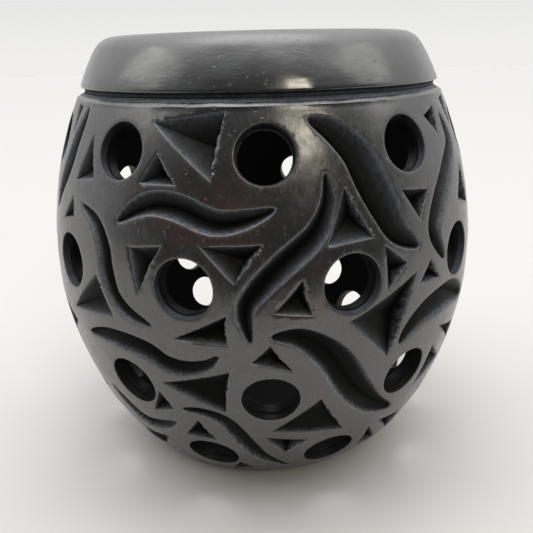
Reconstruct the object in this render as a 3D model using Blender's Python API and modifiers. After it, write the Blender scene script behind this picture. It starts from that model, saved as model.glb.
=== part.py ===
"""Barro negro pot: a burnished black clay pot with a plain collar, pierced and chip-carved all round.

It is hand built from three pieces of clay, joined with slip before firing: the floor, the wall and the
collar coil. The wall has four staggered rows of round holes, with curved grooves and three-sided chips
carved between them. Most of the carving is the same on both halves of the turn.

Metres, +Z up, origin at the centre of the foot. Lengths in the lists below are millimetres, and angles
are degrees about the pot's axis, from the front (-Y) towards +X.
"""

import math

import bmesh
import bpy
import numpy as np
from mathutils import Matrix, Vector

MM = 0.001

# Driving dimensions, in millimetres.
HEIGHT = 106.0
WALL_THICKNESS = 4.5
COLLAR_THICKNESS = 5.0
GROOVE_HEIGHT = 94.0
GROOVE_HALF_WIDTH = 1.0
GROOVE_DEPTH = 1.3
LIP_ROUNDING = 1.2
FLOOR_THICKNESS = 6.5
FLOOR_RADIUS = 30.5
FLOOR_PLUG_RADIUS = 25.7
LEDGE_HEIGHT = 3.0
FOOT_RADIUS = 29.5
JOINT_GAP = 0.3

HOLE_TAPER = 0.4
CHAMFER_DEPTH = 0.8
HOLE_SIDES = 12
CUTTER_REACH = 9.0
CUTTER_CLEARANCE = 2.0

GROOVE_SIDE_DEPTH_RATIO = 0.32
CHIP_DEPTH = 2.0
CHIP_REACH = 1.4
CHIP_CLEARANCE = 1.5
WAVE_STATIONS = 8

TURN_STEPS = 52
HALF_TURN = 180.0

# The outer outline: height and radius.
OUTLINE = [
    (0.8, 31.0), (3.5, 36.0), (11.0, 42.3), (20.0, 47.0), (32.0, 51.1), (44.0, 53.5),
    (55.0, 54.0), (66.0, 53.0), (80.0, 49.8), (92.0, 45.0), (106.0, 37.4),
]

# The rows of holes: height, the angle of the row's first hole, and the holes' radius at the mouth.
HOLE_ROWS = [(84.5, 0.0, 5.85), (59.5, 18.0, 6.2), (34.0, 0.0, 6.2), (13.5, 18.0, 6.1)]
HOLES_PER_ROW = 10

# Holes at the back that wander from their row: row and number, then angle and height.
WANDERING_HOLES = {
    (1, 3): (128.0, 62.0),
    (1, 4): (165.0, 63.0),
    (1, 5): (199.0, 62.0),
    (1, 6): (238.0, 65.0),
    (2, 4): (149.0, 27.0),
    (2, 6): (212.0, 34.0),
    (3, 3): (134.0, 16.5),
    (3, 5): (208.0, 20.0),
}

# The curved grooves: width, the valley's place between the two edges (-1 is the right-hand edge along
# the cut and 1 the left-hand one), and the middle line as angle and height. Both halves of the turn
# have the first list. The front and the back then have their own, each counted from its own middle.
WAVES = [
    (5.3, -0.2, [(-35, 71), (-30, 74), (-25, 75.5), (-19, 75), (-13, 73), (-9, 72.5), (-3, 73.5), (2, 75)]),
    (5.2, -0.1, [(13, 81), (13, 75.5), (10, 70), (3, 64.5), (-2, 60), (-5, 55.5), (-4, 48.5)]),
    (7.5, -0.5, [(10, 90.5), (16, 88), (21, 84), (24, 78.5), (27, 73), (30, 68), (36, 64)]),
    (5.5, -0.2, [(56, 89), (57, 82.5), (51, 77), (45, 71.5), (42, 66), (46, 59)]),
    (7.0, 0.0, [(62, 46), (52, 49.5), (45, 49.5), (39, 48.5), (34, 46), (31, 43)]),
    (4.3, 0.1, [(-48, 73), (-42, 70), (-39, 65.5), (-38, 60.5), (-36, 55.5), (-32, 52.5), (-26, 50.5)]),
    (4.5, 0.0, [(-54, 92), (-55, 88.5), (-57, 84.5), (-59, 80), (-63, 74.5), (-66, 69.5)]),
    (5.2, 0.3, [(-49, 43.5), (-41, 45), (-34, 45), (-28, 44), (-24, 42), (-19, 41.5), (-14, 43), (-11, 45)]),
    (5.5, -0.2, [(92, 89), (93, 82.5), (87, 77), (81, 71.5), (78, 66), (82, 59)]),
    (4.6, 0.1, [(67, 44.5), (73, 47), (79, 47), (85, 44.5), (91, 42), (97, 42), (103, 44.5), (108, 49)]),
    (4.2, 0.0, [(60, 22.5), (66, 20.5), (73, 20.5), (80, 23), (87, 25), (94, 24.5), (100, 21.5), (103, 18)]),
]
FRONT_WAVES = [
    (4.1, 0.0, [(-23, 29.5), (-17, 29.5), (-12, 27.5), (-9, 23.5), (-6, 18.5), (-2, 13.5), (6, 8)]),
    (4.2, 0.0, [(-49, 28), (-46, 25), (-42, 22), (-39, 20.5), (-35, 20.5), (-30, 22), (-26, 24)]),
    (7.5, -0.1, [(0, 50), (6, 49.5), (11, 46.5), (15, 42.5), (18, 38), (22, 32.5), (28, 27), (36, 23)]),
]
BACK_WAVES = [
    (4.1, 0.0, [(-21, 29.5), (-17, 29.5), (-12, 27.5), (-9, 23.5), (-6, 18.5), (-2, 13.5), (6, 8)]),
    (3.4, 0.0, [(-54, 30), (-50, 27.5), (-46, 26.5), (-42, 27.5)]),
    (7.0, -0.1, [(0, 50), (6, 49.5), (11, 46.5), (14, 42.5), (15.5, 38), (16, 33), (15, 28.5)]),
]

# The chips, in the same three lists: the three corners, as angle and height.
CHIPS = [
    [(-27, 90), (-9, 92), (-12, 80)],
    [(-25, 84.5), (-20, 79), (-29, 79)],
    [(32, 76), (41, 75), (37, 69.5)],
    [(53, 90.5), (51, 85), (46, 89)],
    [(-31, 66.5), (-23, 67.5), (-29, 57.5)],
    [(7, 61.5), (9, 54), (1, 55)],
    [(35, 59), (28, 41), (17, 51.5)],
    [(40, 60.5), (44, 55.5), (36, 56)],
    [(48, 42), (64, 38), (62, 33)],
    [(-47, 86.5), (-44, 78.5), (-52, 77.5)],
    [(-53, 74), (-52, 69.5), (-58, 68.5)],
    [(-42, 59), (-37, 50.5), (-55, 48)],
    [(-21, 48.5), (-9, 54.5), (-9, 48)],
    [(-26, 36.5), (-9, 41.5), (-11, 30)],
    [(-19, 26.5), (-15, 20), (-24, 20.5)],
    [(-2, 22), (10, 20), (4, 15.5)],
    [(-10, 10.5), (-6, 6.5), (-16, 3.5)],
    [(0, 48), (5, 41.5), (-4, 44)],
    [(47, 37), (56, 30), (44, 27)],
    [(99, 77.5), (103, 67.5), (92, 70)],
    [(89, 90.5), (87, 85), (82, 89)],
    [(70, 66), (76, 61.5), (71, 55.5)],
    [(99, 61.5), (111, 61), (104, 52)],
    [(80, 39.5), (88, 37.5), (82, 29.5)],
    [(92, 38.5), (99, 34.5), (91, 29)],
    [(68, 16), (78, 15.5), (72, 6.5)],
    [(106, 13.5), (115, 16.5), (112, 6.5)],
    [(117, 27.5), (125, 25.5), (118, 19.5)],
    [(115, 46.5), (123, 43.5), (117, 39)],
    [(98, 91.5), (102.5, 90), (98, 82.5)],
    [(61, 91.5), (66, 92), (62.5, 86)],
    [(117, 92), (121, 92), (119.5, 86.5)],
]
FRONT_CHIPS = [
    [(17, 78), (23, 68), (12.5, 67.5)],
    [(63, 77.5), (67, 67.5), (56, 70)],
    [(-14, 68), (-1, 68.5), (-7, 61)],
    [(26, 66), (32, 61.5), (26.5, 56.5)],
    [(-28, 33.5), (-25, 28.5), (-32, 26.5)],
    [(12, 33), (20, 21.5), (0, 24)],
    [(30, 18.5), (39, 9.5), (31, 9.5)],
    [(33, 19.5), (44.5, 17.5), (44.5, 11)],
    [(-44, 15), (-32, 16.5), (-48, 2.5)],
]
BACK_CHIPS = [
    [(18, 79), (22, 71), (15, 71.5)],
    [(63, 79), (67, 72.5), (57, 74)],
    [(-8, 69.5), (1, 68.5), (-6.5, 62.5)],
    [(27.5, 65.5), (32.5, 62), (28, 58.5)],
    [(-46, 39), (-35, 38), (-40, 29.5)],
    [(9, 25.5), (18, 24), (16, 15)],
    [(30, 10.5), (40, 12), (35, 4.5)],
    [(38, 25), (46, 21), (38.5, 17)],
    [(-36, 13), (-28, 17), (-33, 5.5)],
    [(-62, 16), (-55, 17.5), (-60, 8)],
]


def clear_scene():
    for thing in list(bpy.data.objects):
        bpy.data.objects.remove(thing, do_unlink=True)


def new_collection(name):
    collection = bpy.data.collections.new(name)
    bpy.context.scene.collection.children.link(collection)
    return collection


def clay(name, colour, roughness):
    material = bpy.data.materials.new(name)
    material.use_nodes = True
    shader = material.node_tree.nodes["Principled BSDF"]
    shader.inputs["Base Color"].default_value = (*colour, 1.0)
    shader.inputs["Roughness"].default_value = roughness
    shader.inputs["Metallic"].default_value = 0.0
    return material


def smooth_line(points, spans):
    """Points along a Catmull-Rom curve through the given ones, with so many steps to a span."""
    p = [np.array(q, float) for q in points]
    p = [2 * p[0] - p[1]] + p + [2 * p[-1] - p[-2]]
    line = []
    for a, b, c, d in zip(p, p[1:], p[2:], p[3:]):
        for t in np.arange(spans) / spans:
            line.append(
                0.5 * (2 * b + (c - a) * t + (2 * a - 5 * b + 4 * c - d) * t**2)
                + 0.5 * (3 * b - a - 3 * c + d) * t**3
            )
    line.append(p[-2])
    return np.array(line)


OUTLINE_CURVE = smooth_line(OUTLINE, 12)


def outer_radius(height):
    return float(np.interp(height, OUTLINE_CURVE[:, 0], OUTLINE_CURVE[:, 1]))


def outer_slope(height):
    """How fast the outer radius grows with height."""
    step = 0.5
    return (outer_radius(height + step) - outer_radius(height - step)) / (2 * step)


def inner_point(height, thickness):
    """The radius and height of the inner face, measured square to the outer face at this height."""
    slope = outer_slope(height)
    run = thickness / math.hypot(1.0, slope)
    return outer_radius(height) - run, height + run * slope


def around(angle):
    """The unit vector from the axis at this angle from the front."""
    turn = math.radians(angle)
    return Vector((math.sin(turn), -math.cos(turn), 0.0))


def surface_point(angle, height):
    return around(angle) * outer_radius(height) + Vector((0.0, 0.0, height))


def surface_normal(angle, height):
    return (around(angle) - Vector((0.0, 0.0, outer_slope(height)))).normalized()


def turned(name, profile, collection, steps):
    """A solid of revolution: the profile is radius and height, down its outer side first."""
    mesh = bpy.data.meshes.new(name)
    count = len(profile)
    points = [(r * MM, 0.0, z * MM) for r, z in profile]
    edges = [(i, i + 1) for i in range(count - 1)]
    if profile[0][0] > 0:
        edges.append((count - 1, 0))
    mesh.from_pydata(points, edges, [])
    thing = bpy.data.objects.new(name, mesh)
    collection.objects.link(thing)
    screw = thing.modifiers.new("turn", "SCREW")
    screw.axis = "Z"
    screw.steps = screw.render_steps = steps
    screw.use_merge_vertices = True
    screw.merge_threshold = 0.00001
    return thing


def cutter(name, shapes, collection):
    """One cutting object from several closed shapes."""
    mesh = bpy.data.meshes.new(name)
    shapes.to_mesh(mesh)
    shapes.free()
    thing = bpy.data.objects.new(name, mesh)
    thing.hide_render = True
    thing.display_type = "WIRE"
    collection.objects.link(thing)
    return thing


def cut(thing, tool, shapes_meet=False):
    boolean = thing.modifiers.new(tool.name, "BOOLEAN")
    boolean.use_self = shapes_meet
    boolean.operation = "DIFFERENCE"
    boolean.solver = "EXACT"
    boolean.object = tool


def hole_places():
    """Every hole's angle, height and radius at the mouth."""
    for row, (height, first, radius) in enumerate(HOLE_ROWS):
        for number in range(HOLES_PER_ROW):
            regular = (first + number * 360.0 / HOLES_PER_ROW, height)
            yield *WANDERING_HOLES.get((row, number), regular), radius


def all_round(shared, front, back):
    """Each carving with its half's turn."""
    return [(item, 0.0) for item in shared + front] + [(item, HALF_TURN) for item in shared + back]


def add_hole(shapes, angle, height, mouth_radius):
    """A bore square to the wall, with a cone that opens its mouth."""
    flare = HOLE_TAPER / CHAMFER_DEPTH
    rings = [
        (mouth_radius + flare * CUTTER_CLEARANCE, CUTTER_CLEARANCE),
        (mouth_radius - HOLE_TAPER, -CHAMFER_DEPTH),
        (mouth_radius - HOLE_TAPER, -CUTTER_REACH),
    ]
    facing = surface_normal(angle, height).to_track_quat("Z", "Y").to_matrix().to_4x4()
    place = Matrix.Translation(surface_point(angle, height)) @ facing
    loops = []
    for radius, depth in rings:
        turns = [2 * math.pi * k / HOLE_SIDES for k in range(HOLE_SIDES)]
        corners = [Vector((radius * math.cos(t), radius * math.sin(t), depth)) for t in turns]
        loops.append([shapes.verts.new(place @ c * MM) for c in corners])
    shapes.faces.new(loops[0])
    shapes.faces.new(loops[-1][::-1])
    for upper, lower in zip(loops, loops[1:]):
        for k in range(HOLE_SIDES):
            n = (k + 1) % HOLE_SIDES
            shapes.faces.new((upper[k], lower[k], lower[n], upper[n]))


def hole_cutter(collection):
    shapes = bmesh.new()
    for angle, height, radius in hole_places():
        add_hole(shapes, angle, height, radius)
    return cutter("holes", shapes, collection)


def stations(line, count):
    """Points evenly spaced along a line of angles and heights."""
    curve = smooth_line(line, 8)
    spots = np.array([surface_point(a, h) for a, h in curve])
    run = np.concatenate(([0.0], np.cumsum(np.linalg.norm(np.diff(spots, axis=0), axis=1))))
    places = np.linspace(0.0, run[-1], count)
    return [(np.interp(s, run, curve[:, 0]), np.interp(s, run, curve[:, 1])) for s in places]


def add_wave(shapes, width, valley, line, turn):
    """A tapering V-section swept along the line, deepest at its middle."""
    places = stations(line, WAVE_STATIONS)
    spots = [surface_point(a + turn, h) for a, h in places]
    sections = []
    for i, (angle, height) in enumerate(places):
        outward = surface_normal(angle + turn, height)
        ahead = spots[min(i + 1, len(spots) - 1)] - spots[max(i - 1, 0)]
        left = outward.cross(ahead).normalized()
        swell = max(math.sin(math.pi * i / (WAVE_STATIONS - 1)), 0.0) ** 0.6
        half = 0.5 * width * max(swell, 0.12)
        depth = 2 * half * GROOVE_SIDE_DEPTH_RATIO
        floor = spots[i] - outward * depth + left * half * valley
        reach = 1.0 + 1.0 / depth
        edges = [spots[i] + left * half, spots[i] - left * half]
        corners = [floor + (edge - floor) * reach for edge in edges] + [floor]
        sections.append([shapes.verts.new(c * MM) for c in corners])
    shapes.faces.new(sections[0])
    shapes.faces.new(sections[-1][::-1])
    for near, far in zip(sections, sections[1:]):
        for k in range(3):
            n = (k + 1) % 3
            shapes.faces.new((near[k], far[k], far[n], near[n]))


def wave_cutter(collection):
    shapes = bmesh.new()
    for (width, valley, line), turn in all_round(WAVES, FRONT_WAVES, BACK_WAVES):
        add_wave(shapes, width, valley, line, turn)
    bmesh.ops.recalc_face_normals(shapes, faces=shapes.faces[:])
    return cutter("curved_grooves", shapes, collection)


def add_chip(shapes, corners, turn):
    """A three-sided point pressed into the wall, whose edges are the chip's."""
    rim = [surface_point(a + turn, h) for a, h in corners]
    angle = sum(a for a, _ in corners) / 3 + turn
    height = sum(h for _, h in corners) / 3
    span = min((rim[i] - rim[i - 1]).length for i in range(3))
    depth = min(CHIP_DEPTH, 0.35 * span)
    middle, outward = surface_point(angle, height), surface_normal(angle, height)
    point = middle - outward * depth
    top = middle + outward * CHIP_CLEARANCE
    ends = [point, top] + [point + (c - point) * CHIP_REACH for c in rim]
    point, top, *sides = [shapes.verts.new(e * MM) for e in ends]
    for k in range(3):
        shapes.faces.new((point, sides[k - 1], sides[k]))
        shapes.faces.new((top, sides[k], sides[k - 1]))


def chip_cutter(collection):
    shapes = bmesh.new()
    for corners, turn in all_round(CHIPS, FRONT_CHIPS, BACK_CHIPS):
        add_chip(shapes, corners, turn)
    bmesh.ops.recalc_face_normals(shapes, faces=shapes.faces[:])
    return cutter("chips", shapes, collection)


def pierced_wall(collection):
    groove_bottom = GROOVE_HEIGHT - JOINT_GAP / 2
    groove_radius = outer_radius(GROOVE_HEIGHT) - GROOVE_DEPTH
    shoulder = GROOVE_HEIGHT - GROOVE_HALF_WIDTH
    heights = [shoulder, 87, 80, 72, 63, 54, 45, 36, 27, 19, 12, 7, 3.5, 0.8]
    outer = [(groove_radius, groove_bottom)] + [(outer_radius(h), h) for h in heights]
    foot = [
        (FOOT_RADIUS, 0.0),
        (FLOOR_PLUG_RADIUS + JOINT_GAP, 0.0),
        (FLOOR_PLUG_RADIUS + JOINT_GAP, LEDGE_HEIGHT),
        (FLOOR_RADIUS + JOINT_GAP, LEDGE_HEIGHT),
        (FLOOR_RADIUS + JOINT_GAP, FLOOR_THICKNESS + JOINT_GAP),
    ]
    inner = [inner_point(h, WALL_THICKNESS) for h in (6, 14, 24, 36, 50, 64, 78, 89)]
    top = [(outer_radius(GROOVE_HEIGHT) - COLLAR_THICKNESS, groove_bottom)]
    return turned("pierced_wall", outer + foot + inner + top, collection, TURN_STEPS)


def rim_collar(collection):
    seam = GROOVE_HEIGHT + JOINT_GAP / 2
    edge = GROOVE_HEIGHT + GROOVE_HALF_WIDTH
    lip = outer_radius(HEIGHT) - LIP_ROUNDING
    outer = [(lip, HEIGHT)]
    for k in (1, 2):
        t = math.radians(90.0 - 40.0 * k)
        outer.append((lip + LIP_ROUNDING * math.cos(t), HEIGHT - LIP_ROUNDING * (1 - math.sin(t))))
    outer += [(outer_radius(h), h) for h in (HEIGHT - 2.5, 101.0, 98.0, edge)]
    bottom = [
        (outer_radius(GROOVE_HEIGHT) - GROOVE_DEPTH, seam),
        (outer_radius(GROOVE_HEIGHT) - COLLAR_THICKNESS, seam),
    ]
    inner = [(outer_radius(h) - COLLAR_THICKNESS, h) for h in (98.0, 102.0, HEIGHT - LIP_ROUNDING)]
    lip_inside = [(outer_radius(HEIGHT) - COLLAR_THICKNESS + LIP_ROUNDING, HEIGHT)]
    return turned("rim_collar", outer + bottom + inner + lip_inside, collection, TURN_STEPS)


def base_floor(collection):
    seat = LEDGE_HEIGHT + JOINT_GAP
    edge_rounding = 0.5
    profile = [
        (0.0, FLOOR_THICKNESS),
        (FLOOR_RADIUS - edge_rounding, FLOOR_THICKNESS),
        (FLOOR_RADIUS, FLOOR_THICKNESS - edge_rounding),
        (FLOOR_RADIUS, seat),
        (FLOOR_PLUG_RADIUS, seat),
        (FLOOR_PLUG_RADIUS, 0.0),
        (0.0, 0.0),
    ]
    return turned("base_floor", profile, collection, TURN_STEPS)


def main():
    clear_scene()
    parts = new_collection("barro_negro_pot")
    cutters = new_collection("cutters")
    wall = pierced_wall(parts)
    cut(wall, hole_cutter(cutters))
    cut(wall, wave_cutter(cutters))
    cut(wall, chip_cutter(cutters), shapes_meet=True)
    collar = rim_collar(parts)
    floor = base_floor(parts)
    wall.data.materials.append(clay("satin_black_clay", (0.045, 0.045, 0.047), 0.42))
    collar.data.materials.append(clay("burnished_black_clay", (0.05, 0.05, 0.052), 0.28))
    floor.data.materials.append(clay("plain_black_clay", (0.04, 0.04, 0.04), 0.6))


main()
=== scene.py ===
"""The looks of the barro negro pot: a fine carved and pierced wall, its burnished collar and its floor."""

import math
import random

import bpy
import numpy as np
from mathutils import Matrix, Vector, noise
from mathutils.geometry import delaunay_2d_cdt
from mathutils.kdtree import KDTree
from numpy.linalg import norm


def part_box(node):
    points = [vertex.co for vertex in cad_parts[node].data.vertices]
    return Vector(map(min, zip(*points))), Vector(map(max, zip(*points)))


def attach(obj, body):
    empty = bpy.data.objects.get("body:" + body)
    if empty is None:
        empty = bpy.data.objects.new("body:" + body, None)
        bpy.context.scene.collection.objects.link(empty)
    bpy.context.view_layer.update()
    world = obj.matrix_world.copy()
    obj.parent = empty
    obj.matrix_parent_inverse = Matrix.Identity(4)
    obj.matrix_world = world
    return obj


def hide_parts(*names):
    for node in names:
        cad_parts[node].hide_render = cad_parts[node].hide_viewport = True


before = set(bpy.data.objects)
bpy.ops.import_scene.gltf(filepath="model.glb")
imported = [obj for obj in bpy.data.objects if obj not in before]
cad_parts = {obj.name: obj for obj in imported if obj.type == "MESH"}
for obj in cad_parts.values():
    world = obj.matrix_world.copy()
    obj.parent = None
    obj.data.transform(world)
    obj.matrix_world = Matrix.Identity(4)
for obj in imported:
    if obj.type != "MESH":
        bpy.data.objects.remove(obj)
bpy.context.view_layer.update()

MM = 0.001
random.seed(7)
np.random.seed(7)

# ---- Sizes, in millimetres, and angles, in degrees from the front (-Y) towards +X.

COLLAR_LOW, COLLAR_HIGH = [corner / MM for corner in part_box("rim_collar")]
WALL_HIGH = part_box("pierced_wall")[1] / MM
FLOOR_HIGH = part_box("base_floor")[1] / MM

HEIGHT = COLLAR_HIGH.z
GROOVE_HEIGHT = (COLLAR_LOW.z + WALL_HIGH.z) / 2
WALL_THICKNESS = 4.5
UPRIGHT_CURVE = 70.0
COLLAR_THICKNESS = 5.0
GROOVE_HALF_WIDTH = 1.0
GROOVE_DEPTH = 1.3
FOOT_RADIUS = 29.5
LEDGE_HEIGHT = 3.0
FLOOR_RADIUS = FLOOR_HIGH.x
FLOOR_PLUG_RADIUS = 25.7
SEAM = 0.06

# The bead under the cut line: height, and how far it stands in from the wall's outline.
SHOULDER_BEAD = [(92.66, 0.03), (92.8, 0.14), (93.05, 0.36), (93.35, 0.68), (93.55, 1.0), (93.7, 1.2)]

# The collar's side from its bottom edge to its lip: height, and how far it swells from the outline.
COLLAR_SWELL = [
    (95.1, 0.2), (95.5, 0.42), (96.5, 0.58), (98.0, 0.74), (100.0, 0.8), (102.0, 0.72), (103.6, 0.52),
    (104.7, 0.05), (105.35, -0.6), (105.75, -1.4), (105.93, -2.4), (105.98, -3.3),
]

OUTLINE = [
    (0.8, 31.0), (3.5, 36.0), (11.0, 42.3), (20.0, 47.0), (32.0, 51.1), (44.0, 53.5),
    (55.0, 54.0), (66.0, 53.0), (80.0, 49.8), (92.0, 45.0), (106.0, 37.4),
]

# The rows of holes: height, the angle of the row's first hole, and the holes' radius at the mouth.
HOLE_ROWS = [(84.5, 0.0, 5.85), (59.5, 18.0, 6.2), (34.0, 0.0, 6.2), (13.5, 18.0, 6.1)]
HOLES_PER_ROW = 10
MOUTH_ROUND, MOUTH_DEPTH = 0.2, 0.06

# Narrower holes at the back that wander from their row: row and number, then angle and height.
WANDERING_HOLES = {
    (1, 3): (128.0, 62.0), (1, 4): (165.0, 63.0), (1, 5): (199.0, 62.0), (1, 6): (238.0, 65.0),
    (2, 4): (149.0, 27.0), (2, 6): (212.0, 34.0), (3, 3): (134.0, 16.5), (3, 5): (208.0, 20.0),
}
WANDERING_LESS = 0.4

# The curved grooves: width, the valley's place between the two edges (-1 is the right-hand edge along
# the cut and 1 the left-hand one), and the middle line as angle and height. Both halves of the turn
# have the first list. The front and the back then have their own, each counted from its own middle.
WAVES = [
    (5.3, -0.2, [(-35, 71), (-30, 74), (-25, 75.5), (-19, 75), (-13, 73), (-9, 72.5), (-3, 73.5), (2, 75)]),
    (5.2, -0.1, [(13, 81), (13, 75.5), (10, 70), (3, 64.5), (-2, 60), (-5, 55.5), (-4, 48.5)]),
    (7.5, -0.5, [(10, 90.5), (16, 88), (21, 84), (24, 78.5), (27, 73), (30, 68), (36, 64)]),
    (5.5, -0.2, [(56, 89), (57, 82.5), (51, 77), (45, 71.5), (42, 66), (46, 59)]),
    (7.0, 0.0, [(62, 46), (52, 49.5), (45, 49.5), (39, 48.5), (34, 46), (31, 43)]),
    (4.3, 0.1, [(-48, 73), (-42, 70), (-39, 65.5), (-38, 60.5), (-36, 55.5), (-32, 52.5), (-26, 50.5)]),
    (4.5, 0.0, [(-54, 92), (-55, 88.5), (-57, 84.5), (-59, 80), (-63, 74.5), (-66, 69.5)]),
    (5.2, 0.3, [
        (-49, 43.5), (-41, 45), (-34, 45), (-28, 44), (-24, 42), (-19, 41.5), (-14, 43), (-11, 45.5),
    ]),
    (5.5, -0.2, [(92, 89), (93, 82.5), (87, 77), (81, 71.5), (78, 66), (82, 59)]),
    (4.6, 0.1, [(67, 44.5), (73, 47), (79, 47), (85, 44.5), (91, 42), (97, 42), (103, 44.5), (108, 49)]),
    (4.2, 0.0, [(60, 22.5), (66, 20.5), (73, 20.5), (80, 23), (87, 25), (94, 24.5), (100, 21.5), (103, 18)]),
]
FRONT_WAVES = [
    (4.1, 0.0, [(-23, 29.5), (-17, 29.5), (-12, 27.5), (-9, 23.5), (-6, 18.5), (-2, 13.5), (6, 8)]),
    (4.2, 0.0, [(-49, 28), (-46, 25), (-42, 22), (-39, 20.5), (-35, 20.5), (-30, 22), (-26, 24)]),
    (7.5, -0.1, [(0, 50), (6, 49.5), (11, 46.5), (15, 42.5), (18, 38), (22, 32.5), (28, 27), (36, 23)]),
]
BACK_WAVES = [
    (4.1, 0.0, [(-21, 29.5), (-17, 29.5), (-12, 27.5), (-9, 23.5), (-6, 18.5), (-2, 13.5), (6, 8)]),
    (3.4, 0.0, [(-54, 30), (-50, 27.5), (-46, 26.5), (-42, 27.5)]),
    (7.0, -0.1, [(0, 50), (6, 49.5), (11, 46.5), (14, 42.5), (15.5, 38), (16, 33), (15, 28.5)]),
]

# The chips, in the same three lists: the three corners, as angle and height.
CHIPS = [
    [(-27, 90), (-9, 92), (-12, 80)], [(-25, 84.5), (-20, 79), (-29, 79)],
    [(32, 76), (41, 75), (37, 69.5)], [(53, 90.5), (51, 85), (46, 89)],
    [(-31, 66.5), (-23, 67.5), (-29, 57.5)], [(7, 61.5), (9, 54), (1, 55)],
    [(35, 59), (28, 41), (17, 51.5)], [(40, 60.5), (44, 55.5), (36, 56)],
    [(48, 42), (64, 38), (62, 33)], [(-47, 86.5), (-44, 78.5), (-52, 77.5)],
    [(-53, 74), (-52, 69.5), (-58, 68.5)], [(-42, 59), (-37, 50.5), (-55, 48)],
    [(-21, 48.5), (-9, 54.5), (-9, 48)], [(-26, 36.5), (-9, 41.5), (-11, 30)],
    [(-19, 26.5), (-15, 20), (-24, 20.5)], [(-2, 22), (10, 20), (4, 15.5)],
    [(-10, 10.5), (-6, 6.5), (-16, 3.5)], [(0, 48), (5, 41.5), (-4, 44)],
    [(47, 37), (56, 30), (44, 27)], [(99, 77.5), (103, 67.5), (92, 70)],
    [(89, 90.5), (87, 85), (82, 89)], [(70, 66), (76, 61.5), (71, 55.5)],
    [(99, 61.5), (111, 61), (104, 52)], [(80, 39.5), (88, 37.5), (82, 29.5)],
    [(92, 38.5), (99, 34.5), (91, 29)], [(68, 16), (78, 15.5), (72, 6.5)],
    [(106, 13.5), (115, 16.5), (112, 6.5)], [(117, 27.5), (125, 25.5), (118, 19.5)],
    [(115, 46.5), (123, 43.5), (117, 39)], [(98, 91.5), (102.5, 90), (98, 82.5)],
    [(61, 91.5), (66, 92), (62.5, 86)], [(117, 92), (121, 92), (119.5, 86.5)],
]
FRONT_CHIPS = [
    [(17, 78), (23, 68), (12.5, 67.5)], [(63, 77.5), (67, 67.5), (56, 70)],
    [(-14, 68), (-1, 68.5), (-7, 61)], [(26, 66), (32, 61.5), (26.5, 56.5)],
    [(-28, 33.5), (-25, 28.5), (-32, 26.5)], [(12, 33), (20, 21.5), (0, 24)],
    [(30, 18.5), (39, 9.5), (31, 9.5)], [(33, 19.5), (44.5, 17.5), (44.5, 11)],
    [(-44, 15), (-32, 16.5), (-48, 2.5)],
]
BACK_CHIPS = [
    [(18, 79), (22, 71), (15, 71.5)], [(63, 79), (67, 72.5), (57, 74)],
    [(-8, 69.5), (1, 68.5), (-6.5, 62.5)], [(27.5, 65.5), (32.5, 62), (28, 58.5)],
    [(-46, 39), (-35, 38), (-40, 29.5)], [(9, 25.5), (18, 24), (16, 15)],
    [(30, 10.5), (40, 12), (35, 4.5)], [(38, 25), (46, 21), (38.5, 17)],
    [(-36, 13), (-28, 17), (-33, 5.5)], [(-62, 16), (-55, 17.5), (-60, 8)],
]

# The carved surface: how far apart its points are, and how the knife left the edges and the depths.
RIM_STEP = 0.48
WAVE_STEP = 0.7
SCRAPE_STEP = 0.48
SCRAPE_GAP = 0.12
FLAT_STEP = 1.6
NEAR_STEP = 0.74
NEAREST = 0.34
NEAR_REACH = 1.3
END_GAP = 0.4
INSIDE_STEP = 2.4
INSIDE_END_GAP = 1.5
HOLE_SIDES = 48
RING_POINTS = 360
EDGE_ROUND = 0.22
EDGE_DEPTH = 0.09
TORN_DEPTH = 0.24
SHELF_WIDTH = 0.5
SHELF_DEPTHS = (0.25, 0.6)
EDGE_SHAKE = 0.03
CHIP_DEPTH = 3.2
FACET_ROUGHNESS = 0.03
FILL_GAP = 0.3
POINT_SHARE, POINT_NEAREST, POINT_FURTHEST = 0.4, 0.55, 1.2
WAVE_DEPTH_RATIO = 0.48
WAVE_FULLNESS = 0.55
SCRAPE_SHAKE = 0.08
SHADE_SHAKE = 0.06
HOLLOW = 0.78

# How quickly painted shade darkens chips and grooves towards their valleys, and the further painted shade
# that adds to it lower down.
CHIP_SHADE = 0.6
WAVE_SHADE = 0.85
PAINTED_SHADE_HEIGHT = 75.0
PAINTED_SHADE_GAIN = 2.2
# Painted shade in the lower holes: the height it starts below, the height it grows over, and its most.
BORE_SHADE_TOP, BORE_SHADE_FADE, BORE_SHADE_MOST = 45.0, 15.0, 0.8

# The wall's skin starts at the foot's rounded edge, and its inside starts above the floor.
SKIN_START = 0.8
INSIDE_START = 6.0

TURN = 360.0
HALF_TURN = 180.0
WRAP_MARGIN = 30.0
PLANE_RADIUS = 48.0


# ---- The turned form: every point of the wall is an angle, a run along the outline and a depth.

def smooth_line(points, spans):
    """Points along a Catmull-Rom curve through the given ones, with so many steps to a span."""
    p = [np.array(q, float) for q in points]
    p = [2 * p[0] - p[1]] + p + [2 * p[-1] - p[-2]]
    line = []
    for a, b, c, d in zip(p, p[1:], p[2:], p[3:]):
        for t in np.arange(spans) / spans:
            line.append(
                0.5 * (2 * b + (c - a) * t + (2 * a - 5 * b + 4 * c - d) * t**2)
                + 0.5 * (3 * b - a - 3 * c + d) * t**3
            )
    line.append(p[-2])
    return np.array(line)


def running_length(points):
    """How far along the line each point is."""
    return np.concatenate(([0.0], np.cumsum(norm(np.diff(points, axis=0), axis=1))))


CURVE = smooth_line(OUTLINE, spans=24)
CURVE_RUN = running_length(CURVE)
CURVE_SLOPE = np.gradient(CURVE, CURVE_RUN, axis=0)


def run_at(height):
    return float(np.interp(height, CURVE[:, 0], CURVE_RUN))


def height_at(run):
    return np.interp(run, CURVE_RUN, CURVE[:, 0])


def radius_at(run):
    return np.interp(run, CURVE_RUN, CURVE[:, 1])


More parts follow.
